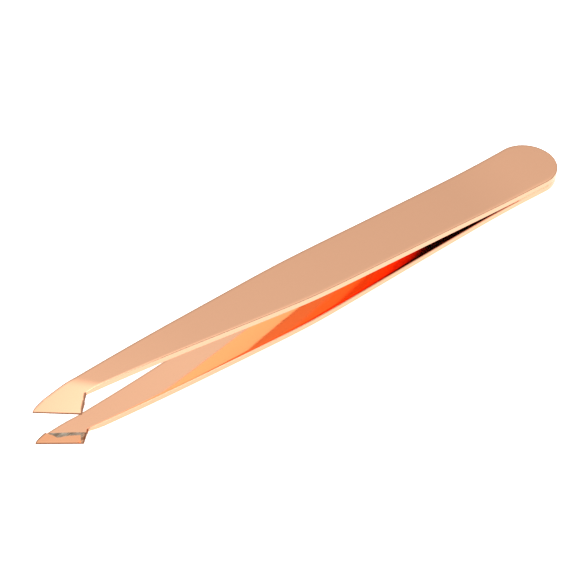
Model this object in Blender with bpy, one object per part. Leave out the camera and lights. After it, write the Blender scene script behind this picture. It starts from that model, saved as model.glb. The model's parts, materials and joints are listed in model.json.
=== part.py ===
"""Slant tweezers, modelled in metres with +Z up.

Two strips of polished steel are welded together at the round heel and spring apart towards a slanted jaw.
Each strip bends elastically, so here it is a heel leaf and an arm that meet at a flexure line, and the arm
turns about that line. The strips are drawn in the jaw frame: station s runs from the heel end (s = 0) to
the points (s = LENGTH), so x = -s, y is across and z = 0 is the plane that the jaws close on. An empty then
lays the whole object on its lower arm, the way it rests on a table.
"""

import math

import bmesh
import bpy
from mathutils import Matrix, Vector

MM = 0.001

# Overall sizes, in millimetres
LENGTH = 95.0
HEEL_RADIUS = 4.9
STRIP_THICKNESS = 1.06
LEAF_GAP = 0.06
EDGE_ROUNDING = 0.22

# Each side of a strip: a waist past the heel, then a flank that runs in to the neck behind the jaw. The near
# side (-Y) runs in further than the far side (+Y), so the jaw's point lies close to the middle.
WAIST_FADE = 17.3
NECK_STATION = 90.0
NEAR_SIDE = {"waist": 4.28, "neck": 0.43, "slope": 0.096, "hollow": 0.00010, "blend": 0.46}
FAR_SIDE = {"waist": 4.54, "neck": 2.26, "slope": 0.050, "hollow": 0.00024, "blend": 0.36}

# Opening between the strips: welded flat, bent apart, straight along the spread, then bent back parallel
SPREAD_SLOPE = 0.0505
HEEL_BEND = (8.1, 18.8)
JAW_BEND = (68.8, 86.1)

# Flexure: where each strip's bending is gathered into one hinge line
FLEXURE_STATION = 18.15
FLEXURE_GAP = 0.30

# Jaw: the slanted edge from the near corner to the far point, seen from above. (station, y)
POINT = (94.95, 1.37)
CORNER = (89.83, -2.79)
FLARE_STATION = 87.6
TIP_BULGE = 0.22
POINT_FULLNESS = 0.42
POINT_ROUNDNESS = 10
EDGE_THICKNESS = 0.28
JAW_TRAVEL = 2.95
CLOSED_CLEARANCE = 0.04
LAND_WIDTH = 1.9
BEVEL_LENGTH = 4.8
LAND_INSET = 0.06

# Heel welds
WELD_END = 11.0
SEAM_DEPTH = 0.75
SEAM_HALF_HEIGHT = 0.24
WELD_CLEARANCE = 0.05
NUGGET_RADIUS = 1.3
NUGGET_HALF_HEIGHT = 0.32
NUGGET_STATIONS = (4.2, 8.6)

STATION_STEP = 2.5
ARC_STEPS = 28
TIP_STEPS = 12
CUTTER_REACH = 12.0

HINGE_HEIGHT = LEAF_GAP / 2 + STRIP_THICKNESS / 2
JAW_HALF_OPENING = LEAF_GAP / 2 + SPREAD_SLOPE * (sum(JAW_BEND) - sum(HEEL_BEND)) / 2
CLOSE_ANGLE = math.atan2(JAW_TRAVEL, POINT[0] - FLEXURE_STATION)


def side_width(s, side):
    """Distance from the centre line to one side of the strip at station s, past the round heel."""
    waist = side["waist"] + (HEEL_RADIUS - side["waist"]) * math.exp((HEEL_RADIUS - s) / WAIST_FADE)
    along = NECK_STATION - s
    flank = side["neck"] + side["slope"] * along + side["hollow"] * along * abs(along)
    return (waist + flank - math.hypot(waist - flank, side["blend"])) / 2


def strip_sides(start, end, inset=0.0):
    """The far and the near side of a strip between two stations, as two lists of (x, y) points."""
    steps = stations(start, end)
    far = [(-s, side_width(s, FAR_SIDE) - inset) for s in steps]
    near = [(-s, inset - side_width(s, NEAR_SIDE)) for s in steps]
    return far, near


def half_opening(s):
    """Height of the upper strip's inner face above the closing plane at station s."""
    return LEAF_GAP / 2 + SPREAD_SLOPE * (bent(s, *HEEL_BEND) - bent(s, *JAW_BEND))


def bent(s, start, end):
    """Rise at s of a line that turns from slope 0 to slope 1 along a parabola from start to end."""
    if s <= start:
        return 0.0
    if s >= end:
        return s - (start + end) / 2
    return (s - start) ** 2 / (2 * (end - start))


def stations(start, end):
    """Evenly spaced stations from start to end, at most STATION_STEP apart."""
    steps = math.ceil((end - start) / STATION_STEP)
    return [start + (end - start) * i / steps for i in range(steps + 1)]


def heel_outline(end, inset=0.0):
    """Plan of the heel from the far side at station end, round the heel, to the near side. (x, y) points."""
    radius = HEEL_RADIUS - inset
    far, near = strip_sides(HEEL_RADIUS, end, inset)
    turns = [math.pi * (0.5 - i / ARC_STEPS) for i in range(1, ARC_STEPS)]
    arc = [(-HEEL_RADIUS + radius * math.cos(a), radius * math.sin(a)) for a in turns]
    return far[::-1] + arc + near


def arm_outline(start):
    """Plan of an arm from station start to just past the slanted edge. (x, y) points."""
    far_past = 1.06
    near_past = 1.25
    far, near = strip_sides(start, FLARE_STATION)
    tip = []
    for i in range(1, TIP_STEPS + 1):
        share = far_past * i / TIP_STEPS
        x, y = along_line(far[-1], (-POINT[0], POINT[1]), share)
        tip.append((x, y + tip_bulge(share)))
    near_end = along_line(near[-1], (-CORNER[0], CORNER[1]), near_past)
    return far + tip + [near_end] + near[::-1]


def tip_bulge(share):
    """How far the tip's far side lies outside its chord, at that share of the way to the blunted point."""
    curve = 4 * TIP_BULGE * share * (1 - share)
    return curve + POINT_FULLNESS * share * (1 - share**POINT_ROUNDNESS)


def along_line(start, end, share):
    """The point at that share of the line from start to end, or past the end if share is over 1."""
    return tuple(a + (b - a) * share for a, b in zip(start, end))


def strip_profile(start, end):
    """Side view of the upper strip between two stations. (x, z) points."""
    bends = [s for bend in (HEEL_BEND, JAW_BEND) for s in stations(*bend) if start < s < end]
    inner = [(-s, half_opening(s)) for s in (start, *bends, end)]
    outer = [(x, z + STRIP_THICKNESS) for x, z in inner]
    return inner + outer[::-1]


def collection(name, is_helper=False):
    made = bpy.data.collections.new(name)
    made.hide_render = is_helper
    bpy.context.scene.collection.children.link(made)
    return made


def material(name, colour, roughness):
    made = bpy.data.materials.new(name)
    made.use_nodes = True
    shader = made.node_tree.nodes["Principled BSDF"]
    shader.inputs["Base Color"].default_value = (*colour, 1.0)
    shader.inputs["Metallic"].default_value = 1.0
    shader.inputs["Roughness"].default_value = roughness
    return made


def slab(name, outline, low, high, upright=False):
    """Solid of a flat outline in millimetres, between two heights, or between two depths when upright."""
    curve = bpy.data.curves.new(name, "CURVE")
    curve.dimensions = "2D"
    curve.fill_mode = "BOTH"
    curve.extrude = (high - low) / 2 * MM
    spline = curve.splines.new("POLY")
    spline.points.add(len(outline) - 1)
    for point, (a, b) in zip(spline.points, outline):
        point.co = (a * MM, b * MM, 0, 1)
    spline.use_cyclic_u = True
    guide = bpy.data.objects.new(name, curve)
    bpy.context.scene.collection.objects.link(guide)
    evaluated = guide.evaluated_get(bpy.context.evaluated_depsgraph_get())
    mesh = bpy.data.meshes.new_from_object(evaluated)
    mesh.name = name
    bpy.data.objects.remove(guide)
    middle = (low + high) / 2 * MM
    if upright:
        mesh.transform(Matrix.Translation((0, middle, 0)) @ Matrix.Rotation(math.pi / 2, 4, "X"))
    else:
        mesh.transform(Matrix.Translation((0, 0, middle)))
    close_mesh(mesh)
    return bpy.data.objects.new(name, mesh)


def close_mesh(mesh):
    """Welds a curve's loose caps to its sides and turns every face outwards."""
    work = bmesh.new()
    work.from_mesh(mesh)
    bmesh.ops.remove_doubles(work, verts=work.verts, dist=0.001 * MM)
    bmesh.ops.recalc_face_normals(work, faces=work.faces)
    work.to_mesh(mesh)
    work.free()


def block_on_plane(name, corner, along, inside, depth):
    """Block whose flat face holds three points, reaching depth from it on the side of (inside) x (along)."""
    origin = Vector(corner)
    x_axis = (Vector(along) - origin).normalized()
    z_axis = (Vector(inside) - origin).cross(x_axis).normalized()
    y_axis = z_axis.cross(x_axis)
    size = 2 * CUTTER_REACH
    work = bmesh.new()
    bmesh.ops.create_cube(work, size=1.0)
    bmesh.ops.scale(work, vec=(size * MM, size * MM, depth * MM), verts=work.verts)
    bmesh.ops.translate(work, vec=(0, 0, depth / 2 * MM), verts=work.verts)
    turn = Matrix((x_axis, y_axis, z_axis)).transposed().to_4x4()
    work.transform(Matrix.Translation(origin * MM) @ turn)
    mesh = bpy.data.meshes.new(name)
    work.to_mesh(mesh)
    work.free()
    return bpy.data.objects.new(name, mesh)


def helper(obj, cutters):
    """Keeps an object out of the part: it only cuts or joins."""
    cutters.objects.link(obj)
    obj.hide_render = True
    obj.display_type = "WIRE"
    return obj


def combine(obj, other, operation):
    modifier = obj.modifiers.new(operation.title(), "BOOLEAN")
    modifier.operation = operation
    modifier.object = other
    modifier.solver = "EXACT"


def apply_modifiers(obj):
    obj.data = bpy.data.meshes.new_from_object(obj.evaluated_get(bpy.context.evaluated_depsgraph_get()))
    obj.modifiers.clear()
    close_mesh(obj.data)


def round_long_edges(obj, outer_only=False):
    """Rounds the sharp edges that run along the strip: those between a wall and the outer or inner face."""
    work = bmesh.new()
    work.from_mesh(obj.data)
    work.normal_update()
    chosen = []
    for edge in work.edges:
        if not edge.is_manifold or edge.calc_face_angle() < math.radians(50):
            continue
        tilts = sorted(face.normal.z for face in edge.link_faces)
        has_outer = tilts[1] > 0.7 and abs(tilts[0]) < 0.3
        has_inner = tilts[0] < -0.7 and abs(tilts[1]) < 0.3
        across = abs(edge.verts[0].co.y - edge.verts[1].co.y) > HEEL_RADIUS * MM
        if not across and (has_outer or (has_inner and not outer_only)):
            chosen.append(edge)
    bmesh.ops.bevel(work, geom=chosen, offset=EDGE_ROUNDING * MM, segments=2, profile=0.5, affect="EDGES")
    work.to_mesh(obj.data)
    work.free()


def settle_mesh(obj, centre):
    """Applies the modifiers, moves the object's origin to centre and shades it smooth between sharp edges."""
    apply_modifiers(obj)
    mesh = obj.data
    mesh.transform(Matrix.Translation(Vector(centre) * -MM))
    mesh.shade_smooth()
    mesh.set_sharp_from_angle(angle=math.radians(35))
    obj.location = Vector(centre) * MM


def land_height(s):
    """Height of the upper land, which the close angle brings down to the closing plane."""
    return CLOSED_CLEARANCE / 2 + (s - FLEXURE_STATION) * math.tan(CLOSE_ANGLE)


def jaw_points(inward):
    """The point and the corner of the slanted edge, moved inward across the jaw. (x, y) points."""
    point = Vector((-POINT[0], POINT[1]))
    corner = Vector((-CORNER[0], CORNER[1]))
    edge = (point - corner).normalized()
    across = Vector((edge.y, -edge.x))
    if across.x < 0:
        across = -across
    return point + across * inward, corner + across * inward


def raised(xy, height):
    return (xy[0], xy[1], height)


def make_leaf(name, parts, cutters):
    """Heel leaf of the upper strip, with a rabbet for the seam weld and pockets for the spot welds."""
    end = FLEXURE_STATION - FLEXURE_GAP / 2
    leaf = slab(name, strip_profile(-1.0, end), -2 * HEEL_RADIUS, 2 * HEEL_RADIUS, upright=True)
    parts.objects.link(leaf)
    combine(leaf, helper(slab(name + "_plan", heel_outline(end + 1.0), -2.0, 4.0), cutters), "INTERSECT")
    apply_modifiers(leaf)
    round_long_edges(leaf, outer_only=True)
    depth = SEAM_DEPTH + WELD_CLEARANCE
    height = SEAM_HALF_HEIGHT + WELD_CLEARANCE
    rabbet = slab(name + "_rabbet", seam_outline(depth, WELD_END + WELD_CLEARANCE, 1.0), -height, height)
    combine(leaf, helper(rabbet, cutters), "DIFFERENCE")
    apply_modifiers(leaf)
    for index, s in enumerate(NUGGET_STATIONS, start=1):
        pocket = nugget(f"{name}_pocket_{index}", s, WELD_CLEARANCE)
        combine(leaf, helper(pocket, cutters), "DIFFERENCE")
    return leaf


def seam_outline(depth, end, outside=0.0):
    """U-shaped plan of the welded rim, depth wide, open towards the jaw. (x, y) points."""
    outer = heel_outline(end, -outside)
    inner = heel_outline(end, depth)
    return outer + inner[::-1]


def nugget(name, s, extra):
    """Spot weld: a flat round slug across the joint between the leaves."""
    work = bmesh.new()
    radius = (NUGGET_RADIUS + extra) * MM
    height = 2 * (NUGGET_HALF_HEIGHT + extra) * MM
    bmesh.ops.create_cone(work, cap_ends=True, segments=32, radius1=radius, radius2=radius, depth=height)
    bmesh.ops.translate(work, vec=(-s * MM, 0, 0), verts=work.verts)
    mesh = bpy.data.meshes.new(name)
    work.to_mesh(mesh)
    work.free()
    return bpy.data.objects.new(name, mesh)


def make_arm(name, parts, cutters):
    """Upper arm: the sprung strip, its raised land and the bevel that thins it to the slanted edge."""
    start = FLEXURE_STATION + FLEXURE_GAP / 2
    arm = slab(name, strip_profile(start, LENGTH + 3.0), -2 * HEEL_RADIUS, 2 * HEEL_RADIUS, upright=True)
    parts.objects.link(arm)
    plan = slab(name + "_plan", arm_outline(start - 1.0), -2.0, 8.0)
    combine(arm, helper(plan, cutters), "INTERSECT")
    apply_modifiers(arm)
    round_long_edges(arm)

    crease_point, crease_corner = jaw_points(LAND_WIDTH)
    past_point, past_corner = jaw_points(-1.0)
    inset = (crease_point - crease_corner).normalized() * LAND_INSET
    land_plan = [crease_point - inset, crease_corner + inset, past_corner + inset, past_point - inset]
    land = slab(name + "_land", [tuple(p) for p in land_plan], 1.5, JAW_HALF_OPENING + 0.3)
    outline = slab(name + "_land_plan", arm_outline(start - 1.0), -2.0, 8.0)
    combine(land, helper(outline, cutters), "INTERSECT")
    combine(arm, helper(land, cutters), "UNION")

    point, corner = jaw_points(0.0)
    land_point = raised(point, land_height(POINT[0]))
    land_corner = raised(corner, land_height(CORNER[0]))
    level = raised(crease_point, land_height(-crease_point.x))
    below_land = block_on_plane(name + "_land_cut", land_point, land_corner, level, 6.0)
    combine(arm, helper(below_land, cutters), "DIFFERENCE")

    edge_point = raised(point, land_point[2] + EDGE_THICKNESS)
    edge_corner = raised(corner, land_corner[2] + EDGE_THICKNESS)
    bevel_back = raised(jaw_points(BEVEL_LENGTH)[0], JAW_HALF_OPENING + STRIP_THICKNESS)
    above_bevel = block_on_plane(name + "_bevel_cut", edge_corner, edge_point, bevel_back, 6.0)
    combine(arm, helper(above_bevel, cutters), "DIFFERENCE")

    foot_point = raised(point, 0.0)
    foot_corner = raised(corner, 0.0)
    past_edge = block_on_plane(name + "_end_cut", foot_corner, foot_point, raised(point, 9.0), 6.0)
    combine(arm, helper(past_edge, cutters), "DIFFERENCE")
    return arm


def mirrored(obj, name, parts):
    """The same piece for the lower strip, turned over in the closing plane."""
    mesh = obj.data.copy()
    mesh.name = name
    mesh.transform(Matrix.Scale(-1, 4, (0, 0, 1)))
    mesh.flip_normals()
    twin = bpy.data.objects.new(name, mesh)
    twin.location = (obj.location.x, obj.location.y, -obj.location.z)
    parts.objects.link(twin)
    return twin


def hinge(name, height, parts):
    """Empty on a strip's flexure line, which runs along Y."""
    empty = bpy.data.objects.new(name, None)
    empty.empty_display_size = 0.006
    empty.location = (-FLEXURE_STATION * MM, 0, height * MM)
    parts.objects.link(empty)
    return empty


def hang_on(obj, parent):
    """Parents obj without moving it. Both are still in the jaw frame."""
    obj.location = obj.location - parent.location
    obj.parent = parent


def resting_tilt():
    """Angle that brings the lower heel edge and the lower arm's belly down to one table plane."""
    contact = EDGE_ROUNDING
    heel_depth = half_opening(contact) + STRIP_THICKNESS
    slopes = [
        (half_opening(s) + STRIP_THICKNESS - heel_depth) / (s - contact)
        for s in stations(HEEL_RADIUS, NECK_STATION)
    ]
    return math.atan(max(slopes))


def lay_down(rest, nodes):
    """Tilts the object onto its belly, then centres its footprint and sets its lowest point on z = 0."""
    rest.rotation_euler = (0, resting_tilt(), 0)
    bpy.context.view_layer.update()
    points = [obj.matrix_world @ vertex.co for obj in nodes for vertex in obj.data.vertices]
    low = Vector([min(p[i] for p in points) for i in range(3)])
    high = Vector([max(p[i] for p in points) for i in range(3)])
    rest.location = (-(low.x + high.x) / 2, -(low.y + high.y) / 2, -low.z)


def main():
    for obj in list(bpy.data.objects):
        bpy.data.objects.remove(obj)
    parts = collection("slant_tweezers")
    cutters = collection("cutters", is_helper=True)
    plate = material("rose_gold_plate", (0.93, 0.58, 0.41), 0.12)
    weld = material("weld_steel", (0.60, 0.57, 0.54), 0.35)

    leaf = make_leaf("heel_upper_leaf", parts, cutters)
    arm = make_arm("upper_arm", parts, cutters)
    settle_mesh(leaf, (0, 0, 0))
    settle_mesh(arm, (-FLEXURE_STATION, 0, HINGE_HEIGHT))
    lower_leaf = mirrored(leaf, "heel_lower_leaf", parts)
    lower_arm = mirrored(arm, "lower_arm", parts)

    seam = slab("heel_seam_weld", seam_outline(SEAM_DEPTH, WELD_END), -SEAM_HALF_HEIGHT, SEAM_HALF_HEIGHT)
    parts.objects.link(seam)
    names = ("rear_spot_weld", "front_spot_weld")
    nuggets = [nugget(name, s, 0.0) for name, s in zip(names, NUGGET_STATIONS)]
    for piece in nuggets:
        parts.objects.link(piece)

    rest = bpy.data.objects.new("resting_frame", None)
    parts.objects.link(rest)
    upper_hinge = hinge("upper_flexure", HINGE_HEIGHT, parts)
    lower_hinge = hinge("lower_flexure", -HINGE_HEIGHT, parts)
    hang_on(arm, upper_hinge)
    hang_on(lower_arm, lower_hinge)
    for obj in (leaf, lower_leaf, seam, *nuggets, upper_hinge, lower_hinge):
        obj.parent = rest

    plated = [leaf, lower_leaf, arm, lower_arm]
    for obj in plated:
        obj.data.materials.append(plate)
    for obj in (seam, *nuggets):
        obj.data.materials.append(weld)
    lay_down(rest, [*plated, seam, *nuggets])


main()
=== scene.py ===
"""Looks for the slant tweezers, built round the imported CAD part.

The CAD splits each strip at its flexure line so that the jaws can close. Here each strip is one continuous
sheet of polished, rose-gold plated steel again, and it bends smoothly between the heel and its jaw.

Shapes are drawn in the jaw frame, in millimetres: station s runs from the heel end to the points, y is
across, and height h is measured outwards from the plane that the jaws close on, so both strips share one
drawing. place() turns that into the row frame, in metres.
"""

import json
import math

import bmesh
import bpy
from mathutils import Matrix, Vector


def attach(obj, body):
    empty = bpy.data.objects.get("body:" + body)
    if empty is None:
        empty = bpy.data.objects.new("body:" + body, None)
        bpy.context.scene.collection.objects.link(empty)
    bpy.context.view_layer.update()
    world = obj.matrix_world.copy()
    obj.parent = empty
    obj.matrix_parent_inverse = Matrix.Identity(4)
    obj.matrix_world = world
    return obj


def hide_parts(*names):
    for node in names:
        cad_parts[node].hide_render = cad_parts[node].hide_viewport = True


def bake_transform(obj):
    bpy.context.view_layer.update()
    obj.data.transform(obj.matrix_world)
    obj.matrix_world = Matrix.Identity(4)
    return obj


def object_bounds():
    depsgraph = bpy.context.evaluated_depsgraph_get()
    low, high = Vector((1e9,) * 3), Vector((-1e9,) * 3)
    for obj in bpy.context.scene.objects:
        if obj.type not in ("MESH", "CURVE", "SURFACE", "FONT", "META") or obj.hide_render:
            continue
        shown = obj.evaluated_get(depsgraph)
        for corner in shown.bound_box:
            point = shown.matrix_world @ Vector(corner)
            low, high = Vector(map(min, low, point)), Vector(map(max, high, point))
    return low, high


MM = 0.001

# Strip sizes, the same as the CAD's, in millimetres
HEEL_RADIUS = 4.9
THICKNESS = 1.06
LEAF_GAP = 0.06
WAIST_FADE = 17.3
NECK_STATION = 90.0
NEAR_SIDE = {"waist": 4.28, "neck": 0.43, "slope": 0.096, "hollow": 0.00010, "blend": 0.46}
FAR_SIDE = {"waist": 4.54, "neck": 2.26, "slope": 0.050, "hollow": 0.00024, "blend": 0.36}
SPREAD_SLOPE = 0.0505
HEEL_BEND = (8.1, 18.8)
JAW_BEND = (68.8, 86.1)
FLEXURE_STATION = 18.15
REST_FACE_STATION = 5.0

# Jaw: (station, y) of the slanted edge's ends, and what is ground into it
POINT = Vector((94.95, 1.37))
CORNER = Vector((89.83, -2.79))
FLARE_STATION = 87.6
EDGE_THICKNESS = 0.28
JAW_TRAVEL = 2.95
LAND_CLEARANCE = 0.02
LAND_WIDTH = 1.9
TIP_BULGE = 0.22
POINT_FULLNESS = 0.42
POINT_ROUNDNESS = 10
FACET_FAR = Vector((88.3, 2.18))
FACET_NEAR = Vector((85.87, -0.85))
FACET_SOFTNESS = 0.7

# Edge rounding from tumbling and polishing: how deep it goes, the most of the thickness that it takes, and
# how many times wider than deep it is on the far side and the flare
OUTER_ROUNDING = 0.20
INNER_ROUNDING = 0.15
LAND_ROUNDING = 0.08
END_ROUNDING = 0.04
OUTER_ROUNDING_SHARE = 0.4
INNER_ROUNDING_SHARE = 0.3
ROUNDING_STRETCH = 1.9

# Seam weld: where it ends, how far it lies under the strips' walls, how deep it goes, and half its height,
# which reaches into both leaves
WELD_END = 11.0
SEAM_INSET = 0.01
SEAM_DEPTH = 0.7
SEAM_HALF_HEIGHT = LEAF_GAP / 2 + 0.03

# Mesh density
HEEL_ROWS = 40
BODY_STEP = 1.0
TURN_STATION = 76.0
TURN_ROWS = 30
EDGE_STEP = 0.13
ACROSS = 20
ROUNDING_STEPS = 5
WALL_STEPS = 3
HALVINGS = 40
SHARP_DEGREES = 32
MERGE_DISTANCE = 0.0004

# Distances of the rows beside the land: two behind its rear edge, the first past its rounding, and the last
# before the rounding of the slanted edge
BEHIND_LAND = 0.05
AT_LAND = 0.02
PAST_ROUNDING = 0.15
BEFORE_EDGE = 0.10

# How much of the ground finish, and of the dark brown painted shade laid on with it, the flare's walls and
# rounded edges have, and the land's rounded edges
GROUND_AND_SHADE_SIDE_SHARE = 0.7

JAW_HALF_OPENING = LEAF_GAP / 2 + SPREAD_SLOPE * (sum(JAW_BEND) - sum(HEEL_BEND)) / 2
LAND_SLOPE = JAW_TRAVEL / (POINT.x - FLEXURE_STATION)
EDGE_DIRECTION = (POINT - CORNER).normalized()
EDGE_INWARD = Vector((-EDGE_DIRECTION.y, EDGE_DIRECTION.x))


def bent(s, start, end):
    """Rise at s of a line that turns from slope 0 to slope 1 along a parabola from start to end."""
    if s <= start:
        return 0.0
    if s >= end:
        return s - (start + end) / 2
    return (s - start) ** 2 / (2 * (end - start))


def half_opening(s):
    """Height of a strip's inner face at station s."""
    return LEAF_GAP / 2 + SPREAD_SLOPE * (bent(s, *HEEL_BEND) - bent(s, *JAW_BEND))


def side_width(s, side):
    """Distance from the centre line to one side of the strip at station s, past the round heel."""
    waist = side["waist"] + (HEEL_RADIUS - side["waist"]) * math.exp((HEEL_RADIUS - s) / WAIST_FADE)
    along = NECK_STATION - s
    flank = side["neck"] + side["slope"] * along + side["hollow"] * along * abs(along)
    return (waist + flank - math.hypot(waist - flank, side["blend"])) / 2


def edge_distance(p):
    """Distance in plan from the slanted edge's line, inwards."""
    return (p - CORNER).dot(EDGE_INWARD)


def land_height(s):
    """Height of the ground land, which is level once the jaws have closed."""
    return LAND_CLEARANCE + (s - FLEXURE_STATION) * LAND_SLOPE


def past_border(p):
    """How far p lies past the soft border where the outer facet starts, towards the edge."""
    along = (FACET_FAR - FACET_NEAR).normalized()
    return (p - FACET_NEAR).dot(Vector((along.y, -along.x)))


def soft_start(q, width):
    """q where it is well above 0, 0 where it is well below, and a parabola between."""
    if q <= -width:
        return 0.0
    if q >= width:
        return q
    return (q + width) ** 2 / (4 * width)


def facet_drop(p):
    """How far the outer facet lies below the flat face at p, so that the edge is evenly thick."""
    on_edge = CORNER + EDGE_DIRECTION * (p - CORNER).dot(EDGE_DIRECTION)
    full_drop = JAW_HALF_OPENING + THICKNESS - land_height(on_edge.x) - EDGE_THICKNESS
    return soft_start(past_border(p), FACET_SOFTNESS) * full_drop / past_border(on_edge)


def outer_height(p):
    """Height of the outer face at p."""
    height = half_opening(p.x) + THICKNESS
    if p.x < TURN_STATION:
        return height
    return height - facet_drop(p)


def inner_height(p, on_land):
    """Height of the inner face at p. The land's rear edge is rounded over."""
    if not on_land:
        return half_opening(p.x)
    short = max(0.0, LAND_ROUNDING - (LAND_WIDTH - edge_distance(p)))
    return land_height(p.x) + LAND_ROUNDING - math.sqrt(max(0.0, LAND_ROUNDING**2 - short**2))


def far_point(s):
    """The far side at station s: the strip's side, then the slightly full run to the point."""
    if s <= FLARE_STATION:
        return Vector((s, side_width(s, FAR_SIDE)))
    start = Vector((FLARE_STATION, side_width(FLARE_STATION, FAR_SIDE)))
    share = (s - FLARE_STATION) / (POINT.x - FLARE_STATION)
    bulge = 4 * TIP_BULGE * share * (1 - share) + POINT_FULLNESS * share * (1 - share**POINT_ROUNDNESS)
    return start.lerp(POINT, share) + Vector((0, bulge))


def far_station(distance):
    """Station where the far side is that far from the slanted edge's line."""
    low, high = TURN_STATION, POINT.x
    for _ in range(HALVINGS):
        middle = (low + high) / 2
        if edge_distance(far_point(middle)) > distance:
            low = middle
        else:
            high = middle
    return high


def near_point(s):
    """The near side at station s: the strip's side, then the flare to the corner."""
    if s <= FLARE_STATION:
        return Vector((s, -side_width(s, NEAR_SIDE)))
    notch = Vector((FLARE_STATION, -side_width(FLARE_STATION, NEAR_SIDE)))
    return notch.lerp(CORNER, (s - FLARE_STATION) / (CORNER.x - FLARE_STATION))


def steps(start, end, most):
    """Even steps from start to end, each at most that long, both ends included."""
    count = max(1, math.ceil(abs(end - start) / most))
    return [start + (end - start) * i / count for i in range(count + 1)]


def plan_rows():
    """Rows across the strip, from the heel end to the slanted edge: (far point, near point, on land)."""
    rows = []
    for i in range(HEEL_ROWS):
        turn = math.pi / 2 * i / HEEL_ROWS
        s = HEEL_RADIUS * (1 - math.cos(turn))
        far = side_width(HEEL_RADIUS, FAR_SIDE) * math.sin(turn)
        near = side_width(HEEL_RADIUS, NEAR_SIDE) * math.sin(turn)
        rows.append((Vector((s, far)), Vector((s, -near)), False))
    for s in steps(HEEL_RADIUS, TURN_STATION, BODY_STEP):
        rows.append((far_point(s), near_point(s), False))
    notch_distance = edge_distance(near_point(FLARE_STATION))
    far_turned = far_station(notch_distance)
    for i in range(1, TURN_ROWS):
        share = i / TURN_ROWS
        far = far_point(TURN_STATION + (far_turned - TURN_STATION) * share)
        near = near_point(TURN_STATION + (FLARE_STATION - TURN_STATION) * share)
        rows.append((far, near, False))
    behind_land = steps(notch_distance, LAND_WIDTH + BEHIND_LAND, EDGE_STEP) + [LAND_WIDTH + AT_LAND]
    rounded = [LAND_WIDTH - LAND_ROUNDING * (1 - math.cos(turn)) for turn in quarter_turns()]
    on_land = rounded + steps(LAND_WIDTH - PAST_ROUNDING, BEFORE_EDGE, EDGE_STEP) + [END_ROUNDING, 0.0]
    for distance in behind_land + on_land:
        near = CORNER.lerp(near_point(FLARE_STATION), distance / notch_distance)
        rows.append((far_point(far_station(distance)), near, distance <= LAND_WIDTH))
    return rows


def quarter_turns():
    """Angles from 0 to a right angle, for drawing a rounding."""
    return [math.pi / 2 * i / ROUNDING_STEPS for i in range(ROUNDING_STEPS + 1)]


def inward_normals(points, towards):
    """Unit normals in plan along a side, each pointing into the strip."""
    normals = []
    for i in range(len(points)):
        before = points[max(i - 1, 0)]
        after = points[min(i + 1, len(points) - 1)]
        along = after - before
        normal = Vector((-along.y, along.x)).normalized()
        normals.append(normal if normal.y * towards > 0 else -normal)
    return normals


def section(far, near, far_in, near_in, on_land, at_end):
    """Closed loop of (s, y, h, rim, wall, inner) points round one row.

    rim is 1 on the rounded edges and half that on the side walls. wall is 1 on the side walls and fades over
    the rounded edges. inner is True on the inner face and its rounded edges.
    """
    shave = END_ROUNDING if at_end else 0.0

    def radii(p):
        thick = outer_height(p) - inner_height(p, on_land)
        outer = min(OUTER_ROUNDING, OUTER_ROUNDING_SHARE * thick)
        return outer, min(INNER_ROUNDING, INNER_ROUNDING_SHARE * thick)

    def corner(p, into, radius, height_of, outwards):
        stretch = 1.0 if p is near and p.x < FLARE_STATION else ROUNDING_STRETCH
        last_turn = quarter_turns()[-1]
        made = []
        for turn in quarter_turns():
            q = p + into * radius * stretch * (1 - math.cos(turn))
            h = height_of(q) - outwards * (radius * (1 - math.sin(turn)) + shave)
            rim = 0.0 if turn == last_turn else 1.0
            made.append((q.x, q.y, h, rim, math.cos(turn) ** 2, outwards < 0))
        return made

    def face(start, end, height_of, outwards):
        made = []
        for i in range(1, ACROSS):
            q = start.lerp(end, i / ACROSS)
            made.append((q.x, q.y, height_of(q) - outwards * shave, 0.0, 0.0, outwards < 0))
        return made

    def wall(p, low, high):
        heights = [low + (high - low) * i / WALL_STEPS for i in range(1, WALL_STEPS)]
        return [(p.x, p.y, h, 0.5, 1.0, False) for h in heights]

    def inner(q):
        return inner_height(q, on_land)

    far_outer, far_inner = radii(far)
    near_outer, near_inner = radii(near)
    far_top = corner(far, far_in, far_outer, outer_height, 1)
    near_top = corner(near, near_in, near_outer, outer_height, 1)
    far_low = corner(far, far_in, far_inner, inner, -1)
    near_low = corner(near, near_in, near_inner, inner, -1)
    top = face(Vector(far_top[-1][:2]), Vector(near_top[-1][:2]), outer_height, 1)
    low = face(Vector(near_low[-1][:2]), Vector(far_low[-1][:2]), inner, -1)
    loop = far_top + top + near_top[::-1]
    loop += wall(near, near_top[0][2], near_low[0][2])
    loop += near_low + low + far_low[::-1]
    loop += wall(far, far_low[0][2], far_top[0][2])
    return loop


def place(s, y, h):
    """A point of the jaw frame, in millimetres, as a point of the row frame, in metres."""
    return JAW_FRAME @ Vector((-s * MM, y * MM, h * MM))


def jaw_frame(record):
    """Where the jaw frame lies in the row frame, read from the heel's outer flat face."""
    mount = next(m for m in record["mounts"] if m["name"] == "rest_face")
    tilt = math.atan2(-mount["axis"][0], -mount["axis"][2])
    turn = Matrix.Rotation(tilt, 4, "Y")
    face_depth = LEAF_GAP / 2 + THICKNESS
    on_face = turn @ Vector((-REST_FACE_STATION * MM, 0, -face_depth * MM))
    return Matrix.Translation(Vector(mount["pos_m"]) - on_face) @ turn


def finish_mesh(name, work):
    """The drawn mesh as an object, smooth except at sharp edges."""
    mesh = bpy.data.meshes.new(name)
    bmesh.ops.remove_doubles(work, verts=work.verts, dist=MERGE_DISTANCE * MM)
    bmesh.ops.recalc_face_normals(work, faces=work.faces)
    work.to_mesh(mesh)
    work.free()
    mesh.shade_smooth()
    mesh.set_sharp_from_angle(angle=math.radians(SHARP_DEGREES))
    obj = bpy.data.objects.new(name, mesh)
    bpy.context.scene.collection.objects.link(obj)
    return obj


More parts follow.
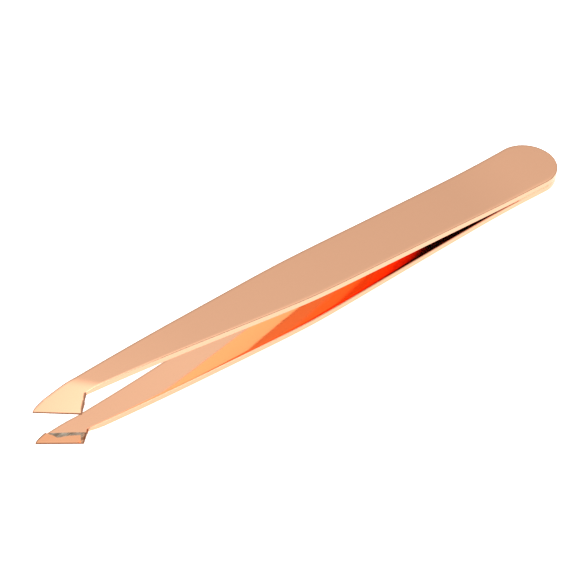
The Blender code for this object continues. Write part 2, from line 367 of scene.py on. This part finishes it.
def skin(work, loops):
    """Quads between each closed loop of vertices and the next."""
    for before, after in zip(loops, loops[1:]):
        for j in range(len(before)):
            k = (j + 1) % len(before)
            work.faces.new((before[j], before[k], after[k], after[j]))


def make_strip(name, side):
    """One whole strip. side is 1 for the upper strip and -1 for the lower."""
    rows = plan_rows()
    far_in = inward_normals([row[0] for row in rows], -1)
    near_in = inward_normals([row[1] for row in rows], 1)
    far_in[0] = near_in[0] = Vector((1, 0))
    work = bmesh.new()
    keys = ("rim", "wall", "ground_and_shade", "land", "crease", "along")
    layers = {key: work.verts.layers.float.new(key) for key in keys}
    edge_length = (POINT - CORNER).length
    loops = []
    for i, (far, near, on_land) in enumerate(rows):
        at_end = i == len(rows) - 1
        loop = []
        for s, y, h, rim, wall, inner in section(far, near, far_in[i], near_in[i], on_land, at_end):
            p = Vector((s, y))
            on_flare = near.x > FLARE_STATION and (p - near).length < (p - far).length
            ground_and_shade_side = max(rim, wall) * GROUND_AND_SHADE_SIDE_SHARE * (on_flare or (on_land and inner))
            vert = work.verts.new(place(s, y, side * h))
            vert[layers["rim"]] = rim
            vert[layers["wall"]] = wall
            # The end faces take the full ground finish and dark brown painted shade, the flare and land edges
            # a share of both
            vert[layers["ground_and_shade"]] = 1.0 if at_end else ground_and_shade_side
            vert[layers["land"]] = float(on_land and inner)
            vert[layers["crease"]] = 1 - edge_distance(p) / LAND_WIDTH
            vert[layers["along"]] = (POINT - p).dot(EDGE_DIRECTION) / edge_length
            loop.append(vert)
        loops.append(loop)
    skin(work, loops)
    work.faces.new(loops[-1])
    return finish_mesh(name, work)


def make_seam(name):
    """The fused rim between the leaves: a U round the heel, flush with the strips' walls."""
    work = bmesh.new()
    outline = [(far, near) for far, near, _ in plan_rows() if far.x <= WELD_END]
    centre = Vector((HEEL_RADIUS, 0))
    rim = [p for p, _ in outline[::-1]] + [p for _, p in outline[1:]]
    corners = (
        (SEAM_INSET, SEAM_HALF_HEIGHT),
        (SEAM_DEPTH, SEAM_HALF_HEIGHT),
        (SEAM_DEPTH, -SEAM_HALF_HEIGHT),
        (SEAM_INSET, -SEAM_HALF_HEIGHT),
    )
    loops = []
    for p in rim:
        inward = (centre - p).normalized()
        if p.x >= HEEL_RADIUS:
            inward = Vector((0, -math.copysign(1, p.y)))
        loop = []
        for inset, h in corners:
            q = p + inward * inset
            loop.append(work.verts.new(place(q.x, q.y, h)))
        loops.append(loop)
    skin(work, loops)
    work.faces.new(loops[0])
    work.faces.new(loops[-1])
    return finish_mesh(name, work)


def principled(name, colour, roughness):
    """A metal material, its node tree and its shader."""
    made = bpy.data.materials.new(name)
    made.use_nodes = True
    tree = made.node_tree
    shader = tree.nodes["Principled BSDF"]
    shader.inputs["Base Color"].default_value = (*colour, 1.0)
    shader.inputs["Metallic"].default_value = 1.0
    shader.inputs["Roughness"].default_value = roughness
    return made, tree, shader


def stretched_noise(tree, cells, detail=3.0):
    """Noise over the object's own coordinates, with that many cells per metre along each axis."""
    coordinates = tree.nodes.new("ShaderNodeTexCoord")
    mapping = tree.nodes.new("ShaderNodeMapping")
    mapping.inputs["Scale"].default_value = cells
    noise = tree.nodes.new("ShaderNodeTexNoise")
    noise.inputs["Scale"].default_value = 1.0
    noise.inputs["Detail"].default_value = detail
    tree.links.new(coordinates.outputs["Object"], mapping.inputs["Vector"])
    tree.links.new(mapping.outputs["Vector"], noise.inputs["Vector"])
    return noise.outputs["Fac"]


def mapped(tree, value, from_low, from_high, to_low, to_high):
    """value rescaled from one range to another, and clamped."""
    node = tree.nodes.new("ShaderNodeMapRange")
    sockets = ("From Min", "From Max", "To Min", "To Max")
    for socket, number in zip(sockets, (from_low, from_high, to_low, to_high)):
        node.inputs[socket].default_value = number
    tree.links.new(value, node.inputs["Value"])
    return node.outputs["Result"]


def mixed_colour(tree, share, first, second):
    """Colour between two colours or colour sockets, by share."""
    node = tree.nodes.new("ShaderNodeMix")
    node.data_type = "RGBA"
    tree.links.new(share, node.inputs["Factor"])
    for socket, colour in (("A", first), ("B", second)):
        target = next(i for i in node.inputs if i.name == socket and i.type == "RGBA")
        if isinstance(colour, tuple):
            target.default_value = (*colour, 1.0)
        else:
            tree.links.new(colour, target)
    return next(o for o in node.outputs if o.type == "RGBA")


def arithmetic(tree, operation, first, second):
    """Result of one math operation on two numbers or sockets."""
    node = tree.nodes.new("ShaderNodeMath")
    node.operation = operation
    for socket, value in zip(node.inputs, (first, second)):
        if isinstance(value, (int, float)):
            socket.default_value = value
        else:
            tree.links.new(value, socket)
    return node.outputs["Value"]


def attribute(tree, name):
    """One of the values that make_strip() stores on the vertices."""
    node = tree.nodes.new("ShaderNodeAttribute")
    node.attribute_name = name
    return node.outputs["Fac"]


ROSE_GOLD = (0.965, 0.525, 0.32)
WORN_GOLD = (0.955, 0.57, 0.39)
# Darker gold painted on the side walls as shade, for the dimmer reflection there
WALL_SHADE_GOLD = (0.72, 0.40, 0.25)
# Dark brown painted shade on the ground ends, flare walls and land edges, in place of the dark reflection
# there
PAINTED_SHADE_BROWN = (0.21, 0.085, 0.04)
LAND_GOLD = (0.93, 0.42, 0.21)
FILED_LIGHT = (0.52, 0.46, 0.37)
FILED_DARK = (0.27, 0.20, 0.14)
WELD_GREY = (0.60, 0.57, 0.54)
WELD_STRAW = (0.62, 0.50, 0.40)
WELD_BLUE = (0.55, 0.55, 0.58)

# Noise cells per metre along the strip, across it and through it, and the range that most noise lies in
POLISHING_LINES = (60, 2600, 2600)
CLOUDS = (90, 260, 260)
SCRATCHES = (500, 9000, 9000)
FILE_MARKS = (700, 2000, 2000)
BLOTCHES = (900, 900, 900)
NOISE_RANGE = (0.3, 0.7)

# Parts of a noise's range that show, and what they turn into
LINE_RANGE = (0.35, 0.65)
WORN_SHARES = (0.1, 0.4)
SCRATCH_RANGE = (0.5, 0.75)
FILE_MARK_RANGE = (0.4, 0.65)
LAND_GOLD_SHARES = (0.4, 1.0)

# Roughness of the plating and of the welds, and what each finish adds to the plating's
POLISHED = 0.06
CLOUDED_ROUGHNESS = (0.045, 0.085)
WELD_ROUGHNESS = 0.35
BLOTCHED_ROUGHNESS = (0.25, 0.45)
SCRATCH_ROUGHNESS = 0.04
WALL_ROUGHNESS = 0.14
FILED_ROUGHNESS = 0.2
GROUND_ROUGHNESS = 0.15

# Filed patch on the land: where it sets in, eases off and becomes the corner strip, by shares of the slanted
# edge from the point to the corner, and how far it reaches, by shares of the land's width from its rear edge
FILED_ONSET = (0.18, 0.42)
FILED_EASING = (0.50, 0.80)
FILED_CORNER = (0.90, 0.95)
FILED_REACH = 0.5
EASED_REACH = 0.28
CORNER_REACH = 1.3
RAGGED_REACH = 0.07
FILED_BORDER = (-0.03, 0.08)


def filed_share(tree):
    """1 where the land is filed to bare steel: under its rear edge, and in a strip at the corner side."""
    along = attribute(tree, "along")
    rising = mapped(tree, along, *FILED_ONSET, 0.0, FILED_REACH)
    falling = mapped(tree, along, *FILED_EASING, FILED_REACH, EASED_REACH)
    deepest = arithmetic(tree, "MINIMUM", rising, falling)
    strip = mapped(tree, along, *FILED_CORNER, 0.0, CORNER_REACH)
    ragged = mapped(tree, stretched_noise(tree, BLOTCHES), *NOISE_RANGE, -RAGGED_REACH, RAGGED_REACH)
    reach = arithmetic(tree, "ADD", arithmetic(tree, "MAXIMUM", deepest, strip), ragged)
    past = arithmetic(tree, "SUBTRACT", reach, attribute(tree, "crease"))
    return arithmetic(tree, "MULTIPLY", attribute(tree, "land"), mapped(tree, past, *FILED_BORDER, 0.0, 1.0))


def rose_gold():
    """Mirror-polished plating: faint polishing lines, satin walls painted a shade darker, ground ends painted
    dark brown as shade, lands filed to bare steel.
    """
    made, tree, shader = principled("rose_gold_plate", ROSE_GOLD, POLISHED)
    lines = stretched_noise(tree, POLISHING_LINES, detail=4.0)
    clouds = stretched_noise(tree, CLOUDS)
    scratches = stretched_noise(tree, SCRATCHES, detail=5.0)
    wall = attribute(tree, "wall")
    ground_and_shade = attribute(tree, "ground_and_shade")
    land = attribute(tree, "land")
    filed = filed_share(tree)
    worn_lines = mapped(tree, lines, *LINE_RANGE, *WORN_SHARES)
    worn = arithmetic(tree, "MULTIPLY", attribute(tree, "rim"), worn_lines)
    colour = mixed_colour(tree, worn, ROSE_GOLD, WORN_GOLD)
    # Painted shade: a darker gold on the side walls, which also get satin roughness below
    colour = mixed_colour(tree, wall, colour, WALL_SHADE_GOLD)
    deeper_gold = arithmetic(tree, "MULTIPLY", land, mapped(tree, clouds, *NOISE_RANGE, *LAND_GOLD_SHARES))
    colour = mixed_colour(tree, deeper_gold, colour, LAND_GOLD)
    file_marks = mapped(tree, stretched_noise(tree, FILE_MARKS), *FILE_MARK_RANGE, 0.0, 1.0)
    bare = mixed_colour(tree, file_marks, FILED_DARK, FILED_LIGHT)
    colour = mixed_colour(tree, filed, colour, bare)
    # Painted shade: dark brown over the ground ends, and a share of it on the flare and land edges
    tree.links.new(mixed_colour(tree, ground_and_shade, colour, PAINTED_SHADE_BROWN), shader.inputs["Base Color"])
    rough = mapped(tree, clouds, *NOISE_RANGE, *CLOUDED_ROUGHNESS)
    for share, extra in (
        (mapped(tree, scratches, *SCRATCH_RANGE, 0.0, 1.0), SCRATCH_ROUGHNESS),
        (wall, WALL_ROUGHNESS),
        (filed, FILED_ROUGHNESS),
        (ground_and_shade, GROUND_ROUGHNESS),
    ):
        rough = arithmetic(tree, "ADD", rough, arithmetic(tree, "MULTIPLY", share, extra))
    tree.links.new(rough, shader.inputs["Roughness"])
    bump = tree.nodes.new("ShaderNodeBump")
    bump.inputs["Strength"].default_value = 0.04
    bump.inputs["Distance"].default_value = 0.00002
    tree.links.new(scratches, bump.inputs["Height"])
    tree.links.new(bump.outputs["Normal"], shader.inputs["Normal"])
    return made


def weld_steel():
    """Fused steel with a heat-tinted, uneven surface."""
    made, tree, shader = principled("weld_steel", WELD_GREY, WELD_ROUGHNESS)
    blotches = stretched_noise(tree, BLOTCHES)
    tree.links.new(mixed_colour(tree, blotches, WELD_STRAW, WELD_BLUE), shader.inputs["Base Color"])
    rough = mapped(tree, blotches, *NOISE_RANGE, *BLOTCHED_ROUGHNESS)
    tree.links.new(rough, shader.inputs["Roughness"])
    return made


def dress(obj, material):
    """Give obj that material alone."""
    obj.data.materials.clear()
    obj.data.materials.append(material)


FLOOR_HALF_WIDTH = 3.0
FLOOR_SEGMENTS = 8
FLOOR_GREY = (0.85, 0.85, 0.85, 1.0)
WHITE = (1.0, 1.0, 1.0, 1.0)
FLOOR_GLOW = 1.0


def make_floor():
    """Plain pale floor, evenly lit from below like a light table."""
    work = bmesh.new()
    bmesh.ops.create_grid(
        work, x_segments=FLOOR_SEGMENTS, y_segments=FLOOR_SEGMENTS, size=FLOOR_HALF_WIDTH
    )
    mesh = bpy.data.meshes.new("floor")
    work.to_mesh(mesh)
    work.free()
    floor = bpy.data.objects.new("floor", mesh)
    floor.location.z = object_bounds()[0].z
    bpy.context.scene.collection.objects.link(floor)
    made = bpy.data.materials.new("pale_floor")
    made.use_nodes = True
    shader = made.node_tree.nodes["Principled BSDF"]
    shader.inputs["Base Color"].default_value = FLOOR_GREY
    shader.inputs["Roughness"].default_value = 0.8
    shader.inputs["Emission Color"].default_value = WHITE
    shader.inputs["Emission Strength"].default_value = FLOOR_GLOW
    dress(floor, made)


SKY_LEVEL = 0.577
SKY_RISE = 1.04
SKY_RISE_POWER = 3.5
HORIZON_DIMMING = 0.35
HORIZON_HEIGHT = 0.08
FULL_SKY_HEIGHT = 0.5


def make_sky():
    """Soft studio surround, brighter overhead than at the horizon."""
    world = bpy.data.worlds.new("studio")
    world.use_nodes = True
    tree = world.node_tree
    direction = tree.nodes.new("ShaderNodeTexCoord")
    split = tree.nodes.new("ShaderNodeSeparateXYZ")
    tree.links.new(direction.outputs["Generated"], split.inputs["Vector"])
    tree.nodes["Background"].inputs["Color"].default_value = WHITE
    height = arithmetic(tree, "MAXIMUM", split.outputs["Z"], 0.0)
    rise = arithmetic(tree, "MULTIPLY", arithmetic(tree, "POWER", height, SKY_RISE_POWER), SKY_RISE)
    level = arithmetic(tree, "ADD", rise, SKY_LEVEL)
    dimming = mapped(tree, height, HORIZON_HEIGHT, FULL_SKY_HEIGHT, HORIZON_DIMMING, 1.0)
    strength = arithmetic(tree, "MULTIPLY", level, dimming)
    tree.links.new(strength, tree.nodes["Background"].inputs["Strength"])
    bpy.context.scene.world = world


def softbox(name, azimuth, elevation, distance, size, radiance):
    """Square area light that faces the object, with the brightness that its reflection has."""
    light = bpy.data.lights.new(name, "AREA")
    light.size = size
    light.energy = radiance * math.pi * size * size
    lamp = bpy.data.objects.new(name, light)
    a = math.radians(azimuth)
    e = math.radians(elevation)
    away = Vector((math.sin(a) * math.cos(e), -math.cos(a) * math.cos(e), math.sin(e)))
    lamp.location = away * distance
    lamp.rotation_mode = "QUATERNION"
    lamp.rotation_quaternion = away.to_track_quat("Z", "Y")
    bpy.context.scene.collection.objects.link(lamp)


# Camera: where it stands round the object, in degrees and millimetres, and how far its axis passes from the
# object's centre
CAMERA_AZIMUTH = -38.62
CAMERA_ELEVATION = 45.27
CAMERA_ROLL = -0.45
CAMERA_DISTANCE = 278.3
CAMERA_LENS = 120.47
AIM_RIGHT = -3.72
AIM_UP = -1.47


def make_camera(centre):
    """Camera with a long lens, looking down at the object from its jaw end."""
    data = bpy.data.cameras.new("camera")
    data.sensor_width = 36.0
    data.lens = CAMERA_LENS
    data.clip_start = 0.01
    data.clip_end = 20.0
    camera = bpy.data.objects.new("camera", data)
    a = math.radians(CAMERA_AZIMUTH)
    e = math.radians(CAMERA_ELEVATION)
    back = Vector((math.sin(a) * math.cos(e), -math.cos(a) * math.cos(e), math.sin(e)))
    level_right = Vector((0, 0, 1)).cross(back).normalized()
    level = Matrix((level_right, back.cross(level_right), back)).transposed()
    turn = level @ Matrix.Rotation(math.radians(CAMERA_ROLL), 3, "Z")
    aim = centre + turn @ Vector((AIM_RIGHT * MM, AIM_UP * MM, 0))
    camera.matrix_world = Matrix.Translation(aim + back * CAMERA_DISTANCE * MM) @ turn.to_4x4()
    bpy.context.scene.collection.objects.link(camera)
    bpy.context.scene.camera = camera


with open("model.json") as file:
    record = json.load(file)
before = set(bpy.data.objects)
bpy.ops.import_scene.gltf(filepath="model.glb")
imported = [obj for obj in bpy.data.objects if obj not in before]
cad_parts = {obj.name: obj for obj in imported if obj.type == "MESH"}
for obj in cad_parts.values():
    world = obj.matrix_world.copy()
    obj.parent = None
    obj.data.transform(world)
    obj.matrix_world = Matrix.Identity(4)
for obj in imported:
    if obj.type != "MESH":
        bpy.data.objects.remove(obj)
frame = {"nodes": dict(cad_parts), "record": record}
cad_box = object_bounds()
JAW_FRAME = jaw_frame(frame["record"])

gold = rose_gold()
steel = weld_steel()

for side, name, body in ((1, "upper", "upper_jaw"), (-1, "lower", "lower_jaw")):
    strip = make_strip(name + "_strip", side)
    dress(strip, gold)
    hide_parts(f"heel_{name}_leaf", f"{name}_arm")
    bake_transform(strip)

seam = make_seam("seam_weld")
dress(seam, gold)
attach(seam, "heel")
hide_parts("heel_seam_weld")
for name in ("rear_spot_weld", "front_spot_weld"):
    dress(frame["nodes"][name], steel)

make_floor()
make_sky()
softbox("front_softbox", azimuth=0.0, elevation=33.0, distance=0.9, size=0.5, radiance=2.5)
make_camera((cad_box[0] + cad_box[1]) / 2)

scene = bpy.context.scene
scene.view_settings.view_transform = "Standard"
# The limit on glossy bounces sets where the gap between the strips turns dark
scene.cycles.max_bounces = 16
scene.cycles.glossy_bounces = 7
